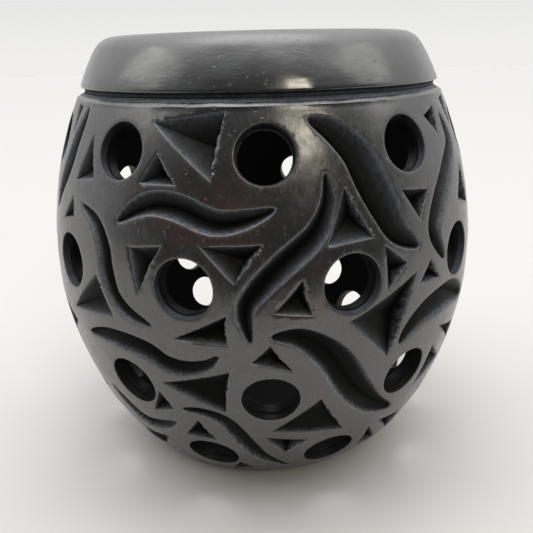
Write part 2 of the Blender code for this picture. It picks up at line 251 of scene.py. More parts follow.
def outer_radius(height):
    """The plain outline's radius at a height, before any carving or unevenness."""
    return float(np.interp(height, CURVE[:, 0], CURVE[:, 1]))


def in_space(angle, run, depth):
    """The point at this depth under the outer surface."""
    climb = np.interp(run, CURVE_RUN, CURVE_SLOPE[:, 0])
    swell = np.interp(run, CURVE_RUN, CURVE_SLOPE[:, 1])
    size = np.hypot(climb, swell)
    radius = radius_at(run) - depth * climb / size
    height = height_at(run) + depth * swell / size
    turn = np.radians(angle)
    return np.stack([radius * np.sin(turn), -radius * np.cos(turn), height], axis=-1)


# ---- The carving

class Carving:
    """One surface's points, the edges its triangles must keep, and the outlines of cuts and holes."""

    def __init__(self, low_run, high_run, depth):
        """Starts with nothing but the points of its two ends."""
        self.angle, self.run, self.depth, self.wear, self.sunk = [], [], [], [], []
        self.edges, self.outlines, self.kinds = [], [], []
        self.size = 0
        angles = -HALF_TURN + TURN * np.arange(RING_POINTS) / RING_POINTS
        self.bottom = self.add(angles, low_run, depth)
        self.top = self.add(angles, high_run, depth)

    def add(self, angle, run, depth, wear=0.0, sunk=0.0):
        """Adds points and returns their numbers. Wear is 1 on a raw torn edge and 0 on whole skin, and also
        places the pale crumbs that carry a painted edge highlight. Sunk is 0 at a carving's edge and 1 in
        its valley, and sets the painted shade in the cuts."""
        given = [np.atleast_1d(v).astype(float) for v in (angle, run, depth, wear, sunk)]
        values = np.broadcast_arrays(*given)
        for store, value in zip(self.stores(), values):
            store.append(value.copy())
        first = self.size
        self.size += len(values[0])
        return list(range(first, self.size))

    def chain(self, numbers, closed=False):
        self.edges += list(zip(numbers, numbers[1:]))
        if closed:
            self.edges.append((numbers[-1], numbers[0]))

    def outline(self, numbers, kind):
        self.chain(numbers, closed=True)
        self.outlines.append(numbers)
        self.kinds.append(kind)

    def stores(self):
        return self.angle, self.run, self.depth, self.wear, self.sunk

    def arrays(self):
        """Angle, run, depth, wear and sunk of every point."""
        return [np.concatenate(store) for store in self.stores()]

    def borders(self, first):
        """The lower end, the upper end and every hole's rim, with its points counted from first."""
        rims = [ring for ring, kind in zip(self.outlines, self.kinds) if kind == "hole"]
        return [[first + i for i in ring] for ring in (self.bottom, self.top, *rims)]


class Patch:
    """Flat millimetre coordinates round one point of the wall, for adding points to a carving."""

    def __init__(self, angle, height, carving=None):
        self.carving = carving
        self.angle, self.run = angle, run_at(height)
        self.radius = float(radius_at(self.run))

    def flat(self, places):
        """Flat coordinates of (angle, height) pairs."""
        return np.array([
            (math.radians(angle - self.angle) * self.radius, run_at(height) - self.run)
            for angle, height in places
        ])

    def back(self, points):
        points = np.atleast_2d(points)
        return self.angle + np.degrees(points[:, 0] / self.radius), self.run + points[:, 1]

    def add(self, points, depth, wear=0.0, sunk=0.0):
        return self.carving.add(*self.back(points), depth, wear, sunk)


def spaced(points, step):
    """The same line with points about a step apart, both ends kept."""
    points = np.asarray(points, float)
    run = running_length(points)
    count = max(int(round(run[-1] / step)), 1)
    places = np.linspace(0.0, run[-1], count + 1)
    return np.stack([np.interp(places, run, points[:, k]) for k in range(2)], axis=1)


def facet(fraction):
    """How deep a carved facet is, from 0 at its edge to 1 at the valley: scooped by the knife."""
    return fraction ** HOLLOW


def chip_sides(patch, corners):
    """The chip's three sides in flat coordinates, anticlockwise, and its right-hand one."""
    flat = patch.flat(corners)
    if np.cross(flat[1] - flat[0], flat[2] - flat[0]) < 0:
        flat = flat[::-1]
    sides = [(flat[k], flat[(k + 1) % 3]) for k in range(3)]
    return sides, max(sides, key=lambda side: side[0][0] + side[1][0])


def chip_point(sides, right):
    """The deep point near the right-hand side, the direction into the chip there, and its gap."""
    half_way = (right[0] + right[1]) / 2
    centroid = np.array([start for start, _ in sides]).mean(axis=0)
    along = (right[1] - right[0]) / norm(right[1] - right[0])
    from_right = abs(np.cross(along, centroid - half_way))
    gap = float(np.clip(POINT_SHARE * from_right, POINT_NEAREST, POINT_FURTHEST))
    across = (centroid - half_way) / from_right
    return half_way + across * gap, across, gap


def chip_rim(sides, right, across, gap, seed):
    """The rim's points, how torn each is, and which of them are the corners."""
    rims, torn = [], []
    for side in sides:
        line = spaced(side, RIM_STEP)
        from_corner = np.minimum(np.arange(len(line)), np.arange(len(line))[::-1])
        if side is right:
            notches = np.array([noise.noise(Vector((*(1.2 * spot), seed))) for spot in line])
            notches = np.clip(1.8 * notches + np.random.uniform(-0.3, 0.3, len(line)), -1.0, 1.0)
            room = np.minimum(0.4 * gap * from_corner / max(from_corner.max(), 1), TORN_DEPTH)
            line = line + (notches * room)[:, None] * across
        else:
            shake = np.clip(from_corner / 4.0, 0.0, EDGE_SHAKE)[:, None]
            line = line + shake * np.random.uniform(-1.0, 1.0, line.shape)
        rims.append(line[:-1])
        torn.append(np.full(len(line) - 1, 1.0 if side is right else 0.6))
    corner_at = np.cumsum([0] + [len(r) for r in rims])[:3]
    return np.concatenate(rims), np.concatenate(torn), corner_at


def carve_chip(carving, corners):
    """A three-sided chip: facets run down from its edges to a point near its right-hand side."""
    middle = np.mean(corners, axis=0)
    patch = Patch(*middle, carving)
    sides, right = chip_sides(patch, corners)
    point, across, gap = chip_point(sides, right)
    rim, torn, corner_at = chip_rim(sides, right, across, gap, middle[0])
    reach = norm(rim - point, axis=1)
    heading = np.arctan2(*(rim - point).T[::-1])
    order = np.argsort(heading)
    deep = min(CHIP_DEPTH, 0.5 * min(norm(a - b) for a, b in sides))

    def inward(spots):
        """How far in from the rim the spots are, from 0 on it to 1 at the deep point."""
        offset = spots - point
        angle = np.arctan2(offset[:, 1], offset[:, 0])
        limit = np.interp(angle, heading[order], reach[order], period=2 * math.pi)
        return np.clip(1.0 - norm(offset, axis=1) / limit, 0.0, 1.0)

    def depth_at(spots):
        return EDGE_DEPTH + (deep - EDGE_DEPTH) * facet(inward(spots))

    def shade(spots):
        return inward(spots) ** CHIP_SHADE

    numbers = patch.add(rim, EDGE_DEPTH, torn)
    carving.outline(numbers, "cut")
    outward = (rim - point) / reach[:, None]
    patch.add(rim + outward * EDGE_ROUND, 0.0, torn * 0.3)
    shelf = torn == 1.0
    width = np.minimum(np.where(shelf, SHELF_WIDTH, EDGE_ROUND * 1.4), 0.3 * reach)
    inner = rim - outward * width[:, None]
    keep = np.ones(len(rim), bool)
    keep[corner_at] = False
    depth = np.where(shelf, np.random.uniform(*SHELF_DEPTHS, len(rim)), depth_at(inner))
    patch.add(inner[keep], depth[keep], torn[keep] * 0.7, shade(inner[keep]))
    bottom = patch.add(point, deep, sunk=1.0)
    for k in corner_at:
        valley = spaced([rim[k], point], RIM_STEP)[1:-1]
        chain = []
        if len(valley):
            chain = patch.add(valley, depth_at(valley), sunk=shade(valley))
        carving.chain([numbers[k]] + chain + bottom)
    fill = hex_grid(rim.min(axis=0), rim.max(axis=0), NEAR_STEP)
    fill = fill[inside(rim, fill)]
    lines = np.concatenate([rim, inner] + [spaced([rim[k], point], FILL_GAP) for k in corner_at])
    fill = fill[far_from(lines, fill, FILL_GAP)]
    rough = np.random.uniform(-FACET_ROUGHNESS, FACET_ROUGHNESS, len(fill))
    patch.add(fill, depth_at(fill) + rough, sunk=shade(fill))


def hex_grid(low, high, step):
    """Slightly shaken points about a step apart between two corners."""
    rows = np.arange(low[1], high[1], step * 0.866)
    columns = np.arange(low[0], high[0], step)
    grid = np.array([(x + (j % 2) * step / 2, y) for j, y in enumerate(rows) for x in columns])
    return grid.reshape(-1, 2) + np.random.uniform(-0.12, 0.12, (len(grid), 2)) * step


def inside(polygon, spots):
    """Which of the spots are in the polygon."""
    a, b = polygon, np.roll(polygon, -1, axis=0)
    x, y = spots[:, 0][:, None], spots[:, 1][:, None]
    rise = np.where(a[:, 1] == b[:, 1], 1e-12, b[:, 1] - a[:, 1])
    level = (a[:, 1] > y) != (b[:, 1] > y)
    crossing = level & (x < (b[:, 0] - a[:, 0]) * (y - a[:, 1]) / rise + a[:, 0])
    return crossing.sum(axis=1) % 2 == 1


def far_from(lines, spots, gap):
    """Which of the spots are at least a gap from every point of the lines."""
    if not len(spots):
        return np.zeros(0, bool)
    nearest = np.min(norm(spots[:, None] - lines[None], axis=2), axis=1)
    return nearest >= gap


def carve_wave(carving, width, bias, line):
    """A curved groove of V section that swells from both tips, with fine scraping along it."""
    middle = np.mean(line, axis=0)
    patch = Patch(*middle, carving)
    centre = spaced(smooth_line(patch.flat(line), spans=12), WAVE_STEP)
    count = len(centre)
    along = np.gradient(centre, axis=0)
    along /= norm(along, axis=1)[:, None]
    left = np.stack([-along[:, 1], along[:, 0]], axis=1)
    share = np.linspace(0.0, 1.0, count)
    swell = np.maximum(np.sin(math.pi * share), 0.0) ** WAVE_FULLNESS
    half = 0.5 * width * swell
    deep = WAVE_DEPTH_RATIO * 2 * half
    valley = centre + left * (half * bias)[:, None]
    body = slice(1, count - 1)
    tips = patch.add(centre[[0, -1]], EDGE_DEPTH, wear=1.0)

    def row(side, inward, sink):
        """Points at this fraction from an edge (side 1 left, -1 right) to the valley."""
        edge = centre + left * (side * half)[:, None]
        spots = edge + (valley - edge) * inward
        depth = EDGE_DEPTH + (deep - EDGE_DEPTH) * facet(inward) + sink
        return spots, depth

    left_edge = patch.add(row(1, 0.0, 0.0)[0][body], EDGE_DEPTH, wear=0.7)
    right_edge = patch.add(row(-1, 0.0, 0.0)[0][body], EDGE_DEPTH, wear=0.9)
    bottom = patch.add(valley[body], np.maximum(deep, EDGE_DEPTH)[body], sunk=1.0)
    carving.outline([tips[0]] + right_edge + [tips[1]] + left_edge[::-1], "cut")
    carving.chain([tips[0]] + bottom + [tips[1]])
    for side in (1, -1):
        broad = half * abs(side - bias)
        outer = centre + left * (side * (half + EDGE_ROUND))[:, None]
        patch.add(outer[body], 0.0, wear=0.3)
        rows = max(int(round(width / 2 * abs(side - bias) / SCRAPE_STEP)), 2)
        for k in range(1, rows):
            inward = k / rows
            sink = random.uniform(-SCRAPE_SHAKE, SCRAPE_SHAKE)
            shade = inward**WAVE_SHADE + random.uniform(-SHADE_SHAKE, SHADE_SHAKE)
            spots, depth = row(side, inward, sink)
            wanted = broad * min(inward, 1 - inward) > SCRAPE_GAP
            wanted[0] = wanted[-1] = False
            if wanted.any():
                wear = 0.55 if k == 1 else 0.0
                patch.add(spots[wanted], depth[wanted], wear, shade)
    ends = np.stack([centre[0] - along[0] * EDGE_ROUND, centre[-1] + along[-1] * EDGE_ROUND])
    patch.add(ends, 0.0)


def hole_ring(angle, height, radius, depth):
    """A ring round a hole's axis, at a depth along it. Deeper rings stay as wide in space."""
    patch = Patch(angle, height)
    turns = 2 * math.pi * np.arange(HOLE_SIDES) / HOLE_SIDES
    across = radius / (1 - depth / patch.radius)
    upward = radius / (1 - depth / UPRIGHT_CURVE)
    spots = np.stack([across * np.cos(turns), upward * np.sin(turns)], axis=1)
    return patch.back(spots)


def hole_places():
    """Every hole's angle, height and radius at the mouth."""
    for row, (height, first, radius) in enumerate(HOLE_ROWS):
        for number in range(HOLES_PER_ROW):
            even = (first + number * TURN / HOLES_PER_ROW, height)
            angle, at = WANDERING_HOLES.get((row, number), even)
            cut = radius - WANDERING_LESS if (row, number) in WANDERING_HOLES else radius
            yield (angle + HALF_TURN) % TURN - HALF_TURN, at, cut


def all_round(shared, front, back):
    """Each carving with its half's turn."""
    return [(item, 0.0) for item in shared + front] + [(item, HALF_TURN) for item in shared + back]


def turned_line(line, turn):
    """The line's points with their angles turned, its middle kept within half a turn of the front."""
    middle = sum(angle for angle, _ in line) / len(line) + turn
    turn -= TURN * round(middle / TURN)
    return [(angle + turn, height) for angle, height in line]


def uncovered(shapes, spots):
    """The spots that are outside every shape."""
    covered = np.zeros(len(spots), bool)
    for shape in shapes:
        low, high = shape.min(axis=0), shape.max(axis=0)
        near = ((spots >= low) & (spots <= high)).all(axis=1)
        if near.any():
            covered[near] |= inside(shape, spots[near])
    return spots[~covered]


def add_background(carving, low_run, high_run, depth, bands):
    """Plain points between the carvings, in bands: a step, and how far from the nearest point of a
    carving the band starts and ends."""
    angle, run = carving.arrays()[:2]
    shifts = (-TURN, 0.0, TURN)
    copies = [np.stack([np.radians(angle + shift) * PLANE_RADIUS, run], axis=1) for shift in shifts]
    lines = KDTree(len(copies) * len(angle))
    for x, y in np.concatenate(copies):
        lines.insert((x, y, 0.0), 0)
    lines.balance()
    shapes = [copy[numbers] for numbers in carving.outlines for copy in copies]
    half_width = math.pi * PLANE_RADIUS
    for step, nearest, furthest in bands:
        spots = hex_grid((-half_width, low_run), (half_width - step / 2, high_run), step)
        gaps = np.array([lines.find((x, y, 0.0))[2] for x, y in spots])
        spots = uncovered(shapes, spots[(gaps >= nearest) & (gaps < furthest)])
        carving.add(np.degrees(spots[:, 0] / PLANE_RADIUS), spots[:, 1], depth)


def triangulate(carving):
    """Triangles over the whole turn, as point numbers, with a kind for each.

    The carving is laid out once more at both ends, so that the triangles meet where the turn closes,
    and each triangle is taken where its middle lies in the turn itself.
    """
    angle, run = carving.arrays()[:2]
    numbers, spots, where = [], [], {}
    copies = (-1, 0, 1)
    for k in copies:
        shown = np.abs(angle + k * TURN) < HALF_TURN + WRAP_MARGIN
        for i in np.nonzero(shown)[0]:
            where[i, k] = len(spots)
            numbers.append(i)
            spots.append(Vector((math.radians(angle[i] + k * TURN) * PLANE_RADIUS, run[i])))
    edges = [
        (where[a, k], where[b, k])
        for k in copies
        for a, b in carving.edges
        if (a, k) in where and (b, k) in where
    ]
    faces, kinds = [], []
    for outline, kind in zip(carving.outlines, carving.kinds):
        for k in copies:
            if all((i, k) in where for i in outline):
                faces.append([where[i, k] for i in outline])
                kinds.append(kind)
    points, _, triangles, points_from, _, faces_from = delaunay_2d_cdt(spots, edges, faces, 0, 1e-6, True)
    limit = math.pi * PLANE_RADIUS
    kept, kept_kinds = [], []
    for triangle, source in zip(triangles, faces_from):
        middle = sum(points[i].x for i in triangle) / 3
        if not -limit <= middle < limit:
            continue
        kind = kinds[source[0]] if source else "skin"
        if kind == "hole":
            continue
        corners = [points_from[i] for i in triangle]
        if not all(corners):
            raise RuntimeError(f"carvings cross near {[tuple(points[i]) for i in triangle]}")
        kept.append([numbers[c[0]] for c in corners])
        kept_kinds.append(kind)
    return kept, kept_kinds


# ---- Solids

def hand_made(points, amount, size):
    """Slow unevenness left by hands and burnishing, always inwards, by place in space."""
    shift = np.array([noise.noise(Vector(p) / size) for p in points])
    return amount * (0.5 + 0.5 * np.clip(shift * 1.4, -1, 1))


def new_object(name, data):
    thing = bpy.data.objects.new(name, data)
    bpy.context.scene.collection.objects.link(thing)
    return thing


class Solid:
    """Collects points and faces with material numbers, and makes a closed mesh."""

    def __init__(self):
        self.points, self.wear, self.sunk = [], [], []
        self.faces, self.slots, self.size = [], [], 0

    def add(self, points, wear=0.0, sunk=0.0):
        first = self.size
        points = np.asarray(points, float).reshape(-1, 3)
        self.points.append(points)
        self.wear.append(np.broadcast_to(wear, len(points)))
        self.sunk.append(np.broadcast_to(sunk, len(points)))
        self.size += len(points)
        return list(range(first, self.size))

    def cover(self, faces, slot):
        self.faces += faces
        self.slots += [slot] * len(faces)

    def bridge(self, upper, lower, slot):
        """Quads between two rings of the same count, listed anticlockwise from above or outside."""
        quads = zip(upper, lower, lower[1:] + lower[:1], upper[1:] + upper[:1])
        self.cover(list(quads), slot)

    def piece(self, name, materials, sharp_angle):
        mesh = bpy.data.meshes.new(name)
        mesh.from_pydata((np.concatenate(self.points) * MM).tolist(), [], self.faces)
        mesh.polygons.foreach_set("material_index", self.slots)
        for label, values in (("wear", self.wear), ("sunk", self.sunk)):
            mesh.attributes.new(label, "FLOAT", "POINT").data.foreach_set("value", np.concatenate(values))
        for material in materials:
            mesh.materials.append(material)
        mesh.shade_smooth()
        mesh.set_sharp_from_angle(angle=math.radians(sharp_angle))
        mesh.update()
        return new_object(name, mesh)


# The places of the wall's four finishes and of the collar's three in their pieces' lists.
SKIN, CUT, BORE, INNER = range(4)
BURNISHED, LINE, INSIDE = range(3)


def ring_points(radius, height, count):
    """A level ring that starts at the back."""
    turns = 2 * math.pi * np.arange(count) / count - math.pi
    level = np.full(count, float(height))
    return np.stack([radius * np.sin(turns), -radius * np.cos(turns), level], axis=1)


def outer_carving(low_run, high_run):
    """The skin with its holes, chips and grooves."""
    carving = Carving(low_run, high_run, 0.0)
    for angle, height, radius in hole_places():
        rim = carving.add(*hole_ring(angle, height, radius, 0.0), MOUTH_DEPTH, wear=0.5)
        carving.outline(rim, "hole")
        carving.add(*hole_ring(angle, height, radius + MOUTH_ROUND, 0.0), 0.0, wear=0.15)
    for corners, turn in all_round(CHIPS, FRONT_CHIPS, BACK_CHIPS):
        carve_chip(carving, turned_line(corners, turn))
    for (width, bias, line), turn in all_round(WAVES, FRONT_WAVES, BACK_WAVES):
        carve_wave(carving, width, bias, turned_line(line, turn))
    bands = [(NEAR_STEP, NEAREST, NEAR_REACH), (FLAT_STEP, NEAR_REACH, math.inf)]
    add_background(carving, low_run + END_GAP, high_run - END_GAP, 0.0, bands)
    return carving


def inner_carving(low_run, high_run):
    """The inside, which has only the holes."""
    carving = Carving(low_run, high_run, WALL_THICKNESS)
    _, inset = BORE_PROFILE[-1]
    for angle, height, radius in hole_places():
        ring = hole_ring(angle, height, radius - inset + 0.15, WALL_THICKNESS)
        carving.outline(carving.add(*ring, WALL_THICKNESS), "hole")
    bands = [(INSIDE_STEP, INSIDE_STEP / 2, math.inf)]
    add_background(carving, low_run + INSIDE_END_GAP, high_run - INSIDE_END_GAP, WALL_THICKNESS, bands)
    return carving


def add_outside(solid):
    """Adds the carved skin and returns its borders."""
    carving = outer_carving(run_at(SKIN_START), run_at(GROOVE_HEIGHT - GROOVE_HALF_WIDTH - 0.5))
    angle, run, depth, wear, sunk = carving.arrays()
    surface = in_space(angle, run, 0.0)
    uneven = hand_made(surface, amount=0.16, size=11.0) + hand_made(surface, amount=0.05, size=3.0)
    # Painted shade: the cuts darken more the lower they sit on the pot.
    lower_shade = 1.0 + PAINTED_SHADE_GAIN * np.clip((PAINTED_SHADE_HEIGHT - surface[:, 2]) / PAINTED_SHADE_HEIGHT, 0.0, 1.0)
    numbers = solid.add(in_space(angle, run, depth + uneven), wear, np.clip(sunk * lower_shade, 0.0, 1.0))
    for triangle, kind in zip(*triangulate(carving)):
        solid.cover([tuple(numbers[i] for i in triangle)], CUT if kind == "cut" else SKIN)
    return carving.borders(numbers[0])


def add_inside(solid):
    """Adds the plain inside and returns its borders."""
    carving = inner_carving(run_at(INSIDE_START), run_at(GROOVE_HEIGHT - 2.0))
    angle, run, depth = carving.arrays()[:3]
    uneven = hand_made(in_space(angle, run, 0.0) + 40.0, amount=0.4, size=9.0)
    numbers = solid.add(in_space(angle, run, depth - uneven))
    triangles, _ = triangulate(carving)
    solid.cover([(numbers[a], numbers[c], numbers[b]) for a, b, c in triangles], INNER)
    return carving.borders(numbers[0])


def wall_piece(materials):
    """The carved skin, the inside, and the walls, edges and foot that close them into one solid."""
    solid = Solid()
    bottom, top, *rims = add_outside(solid)
    inner_bottom, inner_top, *inner_rims = add_inside(solid)
    add_hole_walls(solid, rims, inner_rims)
    add_top_edge(solid, top, inner_top)
    add_foot(solid, bottom, inner_bottom)
    return solid.piece("pierced_wall_clay", materials, sharp_angle=38.0)


# A hole's wall: depth, and how far it stands in from the mouth. The potter cut it twice, so a crack
# runs round it part way in, and the inner stretch is narrower.
BORE_PROFILE = [
    (0.16, 0.07), (0.5, 0.11), (1.0, 0.14), (1.5, 0.2), (1.66, 0.08), (1.8, 0.12), (1.9, 0.42),
    (2.15, 0.5), (2.8, 0.5), (3.6, 0.55), (4.1, 0.52),
]
CRACK_DEPTH = 1.7


def add_hole_walls(solid, rims, inner_rims):
    """Rings down each hole, from the skin's rim to the one on the inside."""
    for (angle, height, radius), rim, inner_rim in zip(hole_places(), rims, inner_rims):
        above = rim
        for depth, inset in BORE_PROFILE:
            ring_angle, ring_run = hole_ring(angle, height, radius - inset, depth)
            spots = in_space(ring_angle, ring_run, 0.0)
            wobble = np.array([noise.noise(Vector(p) / 1.7) for p in spots]) * 0.1
            # Painted shade: each bore turns dark past the crack, and the lower holes darken down their whole
            # length.
            bore_shade = min((BORE_SHADE_TOP - height) / BORE_SHADE_FADE, BORE_SHADE_MOST)
            sunk = max(float(depth > CRACK_DEPTH), bore_shade)
            below = solid.add(in_space(ring_angle, ring_run, depth + 0.1 + wobble), sunk=sunk)
            solid.bridge(above, below, BORE)
            above = below
        solid.bridge(above, inner_rim, BORE)


def add_top_edge(solid, ring, inner_top):
    """The shoulder: a rounded bead below the cut line, the line's shaded back, then the inside."""
    radius = outer_radius(GROOVE_HEIGHT)
    steps = [(outer_radius(h) - inset, h) for h, inset in SHOULDER_BEAD] + [
        (radius - GROOVE_DEPTH, GROOVE_HEIGHT - SEAM / 2),
        (radius - COLLAR_THICKNESS + 0.3, GROOVE_HEIGHT - SEAM / 2),
        (radius - COLLAR_THICKNESS, GROOVE_HEIGHT - 0.4),
    ]
    slots = [SKIN] * 4 + [CUT] * 3 + [INNER] * 2
    for k, ((r, z), slot) in enumerate(zip(steps, slots)):
        spots = ring_points(r, z, len(ring))
        if k < len(SHOULDER_BEAD):
            waver = np.array([noise.noise(Vector((p[0] / 6.0, p[1] / 6.0, 0.0))) for p in spots])
            spots[:, 2] += waver * 0.04 * (k + 1)
        below = solid.add(spots, wear=0.2 if k == 1 else 0.0)
        solid.bridge(below, ring, slot)
        ring = below
    solid.bridge(inner_top, ring, INNER)


def add_foot(solid, ring, inner_bottom):
    """The foot ring's rounded edge and underside, the plug's bore, the ledge and the inside corner."""
    steps = [
        (FOOT_RADIUS + 0.75, 0.3), (FOOT_RADIUS + 0.2, 0.06), (FOOT_RADIUS - 0.6, 0.0),
        (FLOOR_PLUG_RADIUS + SEAM + 0.5, 0.0), (FLOOR_PLUG_RADIUS + SEAM, 0.3),
        (FLOOR_PLUG_RADIUS + SEAM, LEDGE_HEIGHT), (FLOOR_RADIUS + SEAM, LEDGE_HEIGHT),
        (FLOOR_RADIUS + SEAM, FLOOR_HIGH.z - 0.3), (FLOOR_RADIUS + 0.6, FLOOR_HIGH.z + 0.25),
    ]
    slots = [SKIN] * 2 + [INNER] * 7
    for (r, z), slot in zip(steps, slots):
        below = solid.add(ring_points(r, z, len(ring)))
        solid.bridge(ring, below, slot)
        ring = below
    solid.bridge(ring, inner_bottom, INNER)


def turned_piece(name, profile, count, materials, slots, unevenness, sharp_angle):
    """A closed turned solid from (radius, height) pairs down the outer side.

    slots are the material numbers of the stretches, and unevenness the amounts and sizes of the
    hand's traces.
    """
    solid = Solid()
    rings = []
    for radius, height in profile:
        if radius == 0.0:
            rings.append(solid.add([(0.0, 0.0, height)]))
            continue
        spots = ring_points(radius, height, count)
        inwards = sum((hand_made(spots, *trace) for trace in unevenness), np.zeros(count))
        scale = 1.0 - inwards / radius
        spots[:, :2] *= scale[:, None]
        rings.append(solid.add(spots))
    pairs = list(zip(rings, rings[1:]))
    if len(rings[0]) > 1:
        pairs.append((rings[-1], rings[0]))
    for (upper, lower), slot in zip(pairs, slots):
        if len(upper) == 1:
            solid.cover([(upper[0], a, b) for a, b in zip(lower, lower[1:] + lower[:1])], slot)
        elif len(lower) == 1:
            solid.cover([(lower[0], b, a) for a, b in zip(upper, upper[1:] + upper[:1])], slot)
        else:
            solid.bridge(upper, lower, slot)
    return solid.piece(name, materials, sharp_angle)


def collar_piece(materials):
    """A barrel-shaped band: nearly upright at its bottom edge and rolled over into the lip."""
    side = [(outer_radius(h) + swell, h) for h, swell in smooth_line(COLLAR_SWELL, spans=5)][::-1]
    inner_top = outer_radius(HEIGHT) - COLLAR_THICKNESS
    rounding = 1.3
    lip = [(inner_top + rounding, HEIGHT - 0.03)]
    edge = GROOVE_HEIGHT + GROOVE_HALF_WIDTH
    edge_radius = outer_radius(edge)
    groove_radius = outer_radius(GROOVE_HEIGHT)
    under = [
        (edge_radius - 0.3, edge - 0.1), (edge_radius - 0.8, edge - 0.24),
        (groove_radius - 1.1, GROOVE_HEIGHT + 0.55),
        (groove_radius - GROOVE_DEPTH, GROOVE_HEIGHT + SEAM / 2),
        (groove_radius - COLLAR_THICKNESS + 0.3, GROOVE_HEIGHT + SEAM / 2),
        (groove_radius - COLLAR_THICKNESS, GROOVE_HEIGHT + 0.4),
    ]
    heights = np.linspace(GROOVE_HEIGHT + 1.5, HEIGHT - 2.0, 12)
    inner = [(outer_radius(h) - COLLAR_THICKNESS, h) for h in heights]
    inner_corner = [
        (inner_top + rounding - rounding * math.cos(t), HEIGHT - rounding + rounding * math.sin(t))
        for t in np.radians((10.0, 35.0, 60.0, 78.0))
    ]
    profile = lip + side + under + inner + inner_corner
    slots = [BURNISHED] * (len(lip) + len(side)) + [LINE] * (len(under) - 2)
    slots += [INSIDE] * (len(inner) + 2) + [BURNISHED] * len(inner_corner)
    traces = [(0.34, 12.0), (0.05, 4.0)]
    return turned_piece("rim_collar_clay", profile, RING_POINTS, materials, slots, traces, sharp_angle=50.0)


def floor_piece(materials):
    """The slab that closes the bottom: slightly dished on top, with a plug below its flange."""
    top = FLOOR_HIGH.z
    seat = LEDGE_HEIGHT + SEAM
    across = [(FLOOR_RADIUS * t, top - 0.05 - 0.35 * (1 - t)) for t in np.linspace(0.0, 0.97, 22)]
    profile = across + [
        (FLOOR_RADIUS - 0.12, top - 0.12), (FLOOR_RADIUS, top - 0.45), (FLOOR_RADIUS, seat),
        (FLOOR_PLUG_RADIUS, seat), (FLOOR_PLUG_RADIUS, 0.35), (FLOOR_PLUG_RADIUS - 0.35, 0.0),
        (FLOOR_PLUG_RADIUS * 0.6, 0.0), (0.0, 0.0),
    ]
    slots = [0] * len(profile)
    return turned_piece("base_floor_clay", profile, 120, materials, slots, [], sharp_angle=40.0)


# ---- Materials

# Base colours: pale crumbs on the skin and in the cuts, which also carry a painted edge highlight, dust,
# scratches, and a near black for dark scraping streaks and for painted shade.
SKIN_CRUMBS_AND_HIGHLIGHT = (0.21, 0.22, 0.25)
CUT_CRUMBS_AND_HIGHLIGHT = (0.20, 0.215, 0.245)
DUST = (0.35, 0.34, 0.32)
SCRATCHED = (0.07, 0.07, 0.075)
DARK_STREAK_AND_PAINTED_SHADE = (0.004, 0.004, 0.004)

# The raw finishes' colours by how far a cut goes in, from 0 at its edge to 1 in its valley: pale and bluish
# at the edge, partly the cut clay's own grey and partly a painted highlight, then darkened by painted shade
# towards the valley.
CARVED_WITH_PAINTED_SHADE = [
    (0.0, (0.125, 0.137, 0.162)), (0.2, (0.068, 0.074, 0.088)), (0.45, (0.035, 0.036, 0.039)),
    (0.7, (0.014, 0.014, 0.014)), (0.95, (0.003, 0.003, 0.003)),
]
BORED_WITH_PAINTED_SHADE = [(0.1, (0.056, 0.062, 0.074)), (0.6, (0.012, 0.012, 0.013))]
PLAIN = [(0.0, (0.008, 0.008, 0.009)), (1.0, (0.006, 0.006, 0.007))]


def new_material(name):
    material = bpy.data.materials.new(name)
    material.use_nodes = True
    tree = material.node_tree
    return material, tree, tree.nodes["Principled BSDF"]


def feed(tree, socket, value):
    """Gives a socket its value, which may be another node's output."""
    if isinstance(value, bpy.types.NodeSocket):
        tree.links.new(value, socket)
    else:
        socket.default_value = value


def add_node(tree, kind, **values):
    """A new node, with each value given to its socket of that name, or else to the node itself."""
    node = tree.nodes.new("ShaderNode" + kind)
    for key, value in values.items():
        if key in node.inputs:
            feed(tree, node.inputs[key], value)
        else:
            setattr(node, key, value)
    return node


def object_place(tree, stretch=(1.0, 1.0, 1.0)):
    """Object coordinates, scaled along each axis."""
    place = add_node(tree, "TexCoord").outputs["Object"]
    return add_node(tree, "Mapping", Vector=place, Scale=stretch).outputs["Vector"]


def clouds(tree, place, scale, detail, roughness=0.55):
    noise_values = {"Vector": place, "Scale": scale, "Detail": detail, "Roughness": roughness}
    return add_node(tree, "TexNoise", **noise_values).outputs["Fac"]


def ramp(tree, factor, stops):
    """A colour by factor. Each stop is a position and a colour of three numbers."""
    node = add_node(tree, "ValToRGB", Fac=factor)
    elements = node.color_ramp.elements
    while len(elements) < len(stops):
        elements.new(0.5)
    for element, (position, colour) in zip(elements, stops):
        element.position = position
        element.color = (*colour, 1.0)
    return node.outputs["Color"]


def greys(values):
    """Grey stops for a ramp, from positions and brightnesses."""
    return [(position, (value,) * 3) for position, value in values]


def spread(tree, factor, low, high, from_low=0.3, from_high=0.7):
    """The factor from from_low to from_high, spread over low to high."""
    ends = {"From Min": from_low, "From Max": from_high, "To Min": low, "To Max": high}
    return add_node(tree, "MapRange", Value=factor, **ends).outputs["Result"]


def upward(tree, direction):
    """How far a direction points up, from -1 to 1."""
    return add_node(tree, "SeparateXYZ", Vector=direction).outputs["Z"]


def bump(tree, heights):
    """Chained bumps: each is a factor output, a distance in metres and a strength."""
    normal = {}
    for height, distance, strength in heights:
        values = {"Height": height, "Distance": distance, "Strength": strength, **normal}
        normal = {"Normal": add_node(tree, "Bump", **values).outputs["Normal"]}
    return normal["Normal"]


def attribute(tree, name):
    return add_node(tree, "Attribute", attribute_name=name).outputs["Fac"]


def arithmetic(tree, operation, first, second):
    node = add_node(tree, "Math", operation=operation)
    feed(tree, node.inputs[0], first)
    feed(tree, node.inputs[1], second)
    return node.outputs["Value"]


